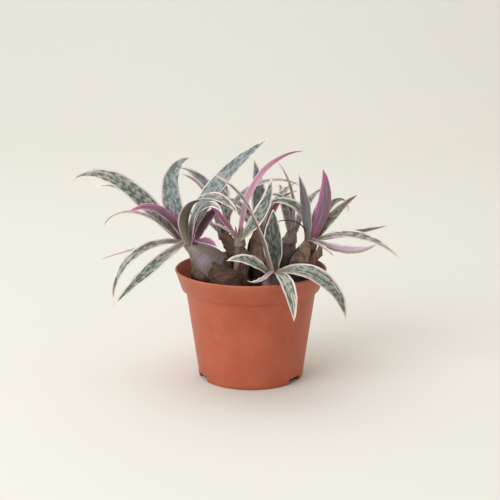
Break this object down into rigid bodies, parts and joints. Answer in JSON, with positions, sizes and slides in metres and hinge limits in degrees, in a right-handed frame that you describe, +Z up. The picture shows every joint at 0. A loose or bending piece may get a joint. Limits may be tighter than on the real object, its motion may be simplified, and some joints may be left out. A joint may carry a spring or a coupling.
{
  "type": "potted silver squill",
  "caption": "Clump of small bulbs with channelled, silver-spotted arching leaves, growing in soil in a tapered plastic nursery pot that stands on its flat foot.",
  "frame": {"origin": "middle of the flat underside of the pot, which the object stands on", "axes": "+Z up along the pot's axis, -Y towards the front, +X to the right seen from the front; the widest spread of leaves lies along X"},
  "size_m": [0.2585, 0.1734, 0.1896],
  "materials": {
    "pot_plastic": "thin moulded terracotta-coloured plastic, satin",
    "potting_soil": null,
    "bulb_purple": null,
    "bulb_brown": "bulb in dry brown papery tunics",
    "leaf_silver": null,
    "leaf_pink": null
  },
  "bodies": {
    "root": {"back_leaf_rear": "leaf_silver", "back_leaf_rear_left": "leaf_silver", "back_leaf_rear_right": "leaf_silver", "back_leaf_red_tip": "leaf_pink", "back_leaf_small_arch": "leaf_silver", "back_leaf_upright": "leaf_silver", "back_middle_bulb": "bulb_purple", "back_right_bulb": "bulb_purple", "back_right_leaf_curved": "leaf_silver", "back_right_leaf_rear": "leaf_silver", "back_right_leaf_side": "leaf_silver", "back_right_leaf_thin": "leaf_silver", "front_brown_bulb": "bulb_brown", "front_leaf_broad_upright": "leaf_silver", "front_leaf_down": "leaf_silver", "front_leaf_edge_on": "leaf_silver", "front_leaf_left": "leaf_silver", "front_leaf_long_left": "leaf_silver", "front_leaf_right_arch": "leaf_silver", "front_right_bulb": "bulb_purple", "left_bulb": "bulb_purple", "left_leaf_behind": "leaf_silver", "left_leaf_drooping": "leaf_silver", "left_leaf_front_arch": "leaf_silver", "left_leaf_hanging": "leaf_silver", "left_leaf_level": "leaf_silver", "left_leaf_long_spotted": "leaf_silver", "left_leaf_longest": "leaf_silver", "left_leaf_low_front": "leaf_silver", "left_leaf_low_right": "leaf_pink", "left_leaf_magenta": "leaf_pink", "left_leaf_pale": "leaf_pink", "left_leaf_short_pink": "leaf_pink", "left_leaf_upright": "leaf_silver", "middle_brown_bulb": "bulb_brown", "middle_bulb": "bulb_purple", "middle_leaf_green_strip": "leaf_silver", "middle_leaf_right": "leaf_silver", "middle_leaf_strip": "leaf_pink", "middle_leaf_thin_magenta": "leaf_pink", "nursery_pot": "pot_plastic", "potting_soil": "potting_soil", "purple_bulb": "bulb_purple", "purple_leaf_back": "leaf_silver", "purple_leaf_back_left": "leaf_silver", "purple_leaf_cream_arch": "leaf_silver", "purple_leaf_low_back": "leaf_silver", "purple_leaf_pink_upright": "leaf_pink", "right_bulb": "bulb_purple", "right_leaf_back_low": "leaf_silver", "right_leaf_curled_dark": "leaf_pink", "right_leaf_curling_up": "leaf_silver", "right_leaf_grey_upright": "leaf_pink", "right_leaf_left_arch": "leaf_silver", "right_leaf_level": "leaf_silver", "right_leaf_long": "leaf_silver", "right_leaf_magenta_upright": "leaf_pink", "right_leaf_rising": "leaf_silver", "right_leaf_spotted_back": "leaf_silver", "right_leaf_thin_reddish": "leaf_pink"}
  },
  "joints": []
}
